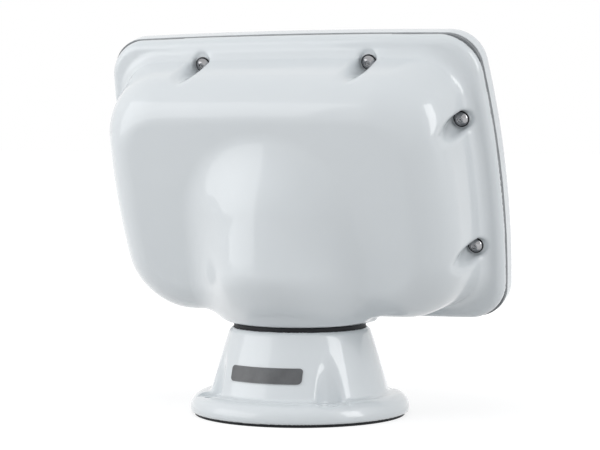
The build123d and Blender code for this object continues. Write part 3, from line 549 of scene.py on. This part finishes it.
# Each finish varies between a darker and a lighter shade of its colour.
finishes = {
    "white_shell": gelcoat(),
    "black_rubber": rubber(
        "black_rubber", (0.008, 0.009, 0.011), (0.014, 0.015, 0.018), roughness=0.6
    ),
    "grey_rubber": rubber(
        "grey_rubber", (0.22, 0.23, 0.24), (0.29, 0.30, 0.31), roughness=0.5
    ),
    "badge": plastic(
        "badge_blank", (0.085, 0.088, 0.092), (0.12, 0.124, 0.13), roughness=0.35, bump=20 * MICRON
    ),
    "polished_steel": metal(
        "polished_steel", (0.30, 0.30, 0.31), (0.40, 0.40, 0.41), 0.1, EVEN, bump=10 * MICRON
    ),
    "steel": metal(
        "turned_steel", (0.52, 0.52, 0.53), (0.63, 0.63, 0.64), 0.3, TURNED, bump=20 * MICRON
    ),
    "cast_alloy": metal(
        "cast_alloy", (0.52, 0.53, 0.54), (0.62, 0.63, 0.64), 0.5, EVEN, bump=80 * MICRON
    ),
    "turned_alloy": metal(
        "turned_alloy", (0.66, 0.67, 0.68), (0.74, 0.75, 0.76), 0.32, FINELY_TURNED, bump=20 * MICRON
    ),
    "brass": metal(
        "turned_brass", (0.62, 0.44, 0.17), (0.72, 0.53, 0.24), 0.3, TURNED, bump=20 * MICRON
    ),
    "acetal": plastic(
        "natural_acetal", (0.70, 0.70, 0.66), (0.76, 0.76, 0.72), roughness=0.4, bump=30 * MICRON
    ),
}
slot_of = {part["node"]: part["material_slot"] for part in record["subparts"]}


def dress(piece, slot):
    """Dress a whole piece in the finish of one of the record's slots."""
    piece.data.materials.clear()
    piece.data.materials.append(finishes[slot])


for node_name, node in nodes.items():
    dress(node, slot_of[node_name])
dress(housing, "white_shell")
dress(pedestal, "white_shell")
dress(button_screws, "polished_steel")

# ---------------------------------------------------------------- floor, light and camera
FLOOR_SIZE = 30.0
# Painted shade: the floor's glow drops to this level round the object, whatever the lamps do.
SHADED_FLOOR_GLOW = 0.78
FLOOR_COLOUR = 0.30
FLOOR_BOUNCE = 0.6
SHADOW_REACH = 0.45             # the floor is pure white beyond this distance
PAINTED_SHADE_CORE = SHADOW_REACH / 3    # and glows by SHADED_FLOOR_GLOW within this one
WORLD_LIGHT = 0.57
WORLD_TINT = (0.96, 0.98, 1.0)
LAMP_AIM_HEIGHT = 0.17
CAMERA_LENS = 119.2
CAMERA_DISTANCE = 1.6663
CAMERA_AZIMUTH = radians(205.7)
CAMERA_HEIGHT = 0.2399
CAMERA_PITCH = radians(2.81)


def seen_switch(tree, seen, lit):
    """Shader seen for camera, glossy and transmission rays, and lit for the light itself."""
    path = tree.nodes.new("ShaderNodeLightPath")
    looking = path.outputs["Is Camera Ray"]
    for ray in ("Is Glossy Ray", "Is Transmission Ray"):
        either = tree.nodes.new("ShaderNodeMath")
        either.operation = "MAXIMUM"
        tree.links.new(looking, either.inputs[0])
        tree.links.new(path.outputs[ray], either.inputs[1])
        looking = either.outputs[0]
    mix = tree.nodes.new("ShaderNodeMixShader")
    tree.links.new(looking, mix.inputs["Fac"])
    tree.links.new(lit, mix.inputs[1])
    tree.links.new(seen, mix.inputs[2])
    return mix.outputs["Shader"]


def make_world():
    """White where it is seen or reflected, and a plain pale level as light."""
    world = bpy.data.worlds.new("studio")
    bpy.context.scene.world = world
    world.use_nodes = True
    tree = world.node_tree
    lit = tree.nodes["Background"]
    lit.inputs["Color"].default_value = (*WORLD_TINT, 1)
    lit.inputs["Strength"].default_value = WORLD_LIGHT
    seen = tree.nodes.new("ShaderNodeBackground")
    seen.inputs["Color"].default_value = (1, 1, 1, 1)
    shader = seen_switch(tree, seen.outputs["Background"], lit.outputs["Background"])
    tree.links.new(shader, tree.nodes["World Output"].inputs["Surface"])


def grey_diffuse(tree, level):
    """Output of a matt grey shader."""
    shader = tree.nodes.new("ShaderNodeBsdfDiffuse")
    shader.inputs["Color"].default_value = (level, level, level, 1)
    return shader.outputs["BSDF"]


def floor_glow_with_painted_shade(tree):
    """Output of a white glow that is weaker round the object, a painted shade there that also lets its
    shadow show.
    """
    place = tree.nodes.new("ShaderNodeTexCoord")
    away = tree.nodes.new("ShaderNodeVectorMath")
    away.operation = "LENGTH"
    tree.links.new(place.outputs["Object"], away.inputs[0])
    rise = tree.nodes.new("ShaderNodeMapRange")
    rise.interpolation_type = "SMOOTHSTEP"
    rise.inputs["From Min"].default_value = PAINTED_SHADE_CORE
    rise.inputs["From Max"].default_value = SHADOW_REACH
    rise.inputs["To Min"].default_value = SHADED_FLOOR_GLOW
    rise.inputs["To Max"].default_value = 1.0
    tree.links.new(away.outputs["Value"], rise.inputs["Value"])
    glow = tree.nodes.new("ShaderNodeEmission")
    tree.links.new(rise.outputs["Result"], glow.inputs["Strength"])
    return glow.outputs["Emission"]


def make_floor():
    """White floor that keeps the object's shadow, with a painted shade round the object."""
    bpy.ops.mesh.primitive_plane_add(size=FLOOR_SIZE, location=(0, 0, cad_bounds[0][2]))
    floor = bpy.context.object
    floor.name = "floor"
    material = bpy.data.materials.new("floor")
    material.use_nodes = True
    tree = material.node_tree
    tree.nodes.remove(tree.nodes["Principled BSDF"])
    seen = tree.nodes.new("ShaderNodeAddShader")
    tree.links.new(grey_diffuse(tree, FLOOR_COLOUR), seen.inputs[0])
    # The glow carries the painted shade round the object.
    tree.links.new(floor_glow_with_painted_shade(tree), seen.inputs[1])
    shader = seen_switch(tree, seen.outputs["Shader"], grey_diffuse(tree, FLOOR_BOUNCE))
    tree.links.new(shader, tree.nodes["Material Output"].inputs["Surface"])
    floor.data.materials.append(material)


def softbox(name, aside, height, distance, width, tall, power, mirrored=True, lighting=True):
    """A rectangular lamp aimed at the object's middle, aside from the camera by some degrees.

    mirrored says whether glossy surfaces show it, lighting whether it lights matt ones.
    """
    azimuth = CAMERA_AZIMUTH + radians(aside)
    lamp = bpy.data.lights.new(name, "AREA")
    lamp.shape = "RECTANGLE"
    lamp.size = width
    lamp.size_y = tall
    lamp.energy = power
    lamp_object = bpy.data.objects.new(name, lamp)
    lamp_object.visible_glossy = mirrored
    lamp_object.visible_diffuse = lighting
    place = Vector((distance * sin(azimuth), -distance * cos(azimuth), height))
    lamp_object.location = place
    aim = Vector((0, 0, LAMP_AIM_HEIGHT)) - place
    lamp_object.rotation_euler = aim.to_track_quat("-Z", "Y").to_euler()
    bpy.context.scene.collection.objects.link(lamp_object)


def make_camera():
    """The camera behind the pod and off to its -X side, looking slightly down."""
    camera_data = bpy.data.cameras.new("camera")
    camera_data.lens = CAMERA_LENS
    camera = bpy.data.objects.new("camera", camera_data)
    camera.location = (
        CAMERA_DISTANCE * sin(CAMERA_AZIMUTH),
        -CAMERA_DISTANCE * cos(CAMERA_AZIMUTH),
        CAMERA_HEIGHT,
    )
    camera.rotation_euler = (pi / 2 - CAMERA_PITCH, 0, CAMERA_AZIMUTH)
    bpy.context.scene.collection.objects.link(camera)
    bpy.context.scene.camera = camera


make_world()
make_floor()
# Left and right each have a lamp for the light and one that only shows in the gloss.
softbox(
    "left_box", aside=-72, height=0.85, distance=1.6,
    width=1.7, tall=1.6, power=14, mirrored=False,
)
softbox(
    "left_glint", aside=-74, height=0.5, distance=1.6,
    width=1.6, tall=1.0, power=6, lighting=False,
)
softbox(
    "right_strip", aside=60, height=0.6, distance=1.6,
    width=0.7, tall=1.2, power=7, mirrored=False,
)
softbox(
    "right_glint", aside=58, height=0.7, distance=1.6,
    width=0.6, tall=1.2, power=8, lighting=False,
)
softbox(
    "top_box", aside=-10, height=2.0, distance=0.8,
    width=1.2, tall=1.2, power=5, mirrored=False,
)
make_camera()
bpy.context.scene.view_settings.view_transform = "Standard"
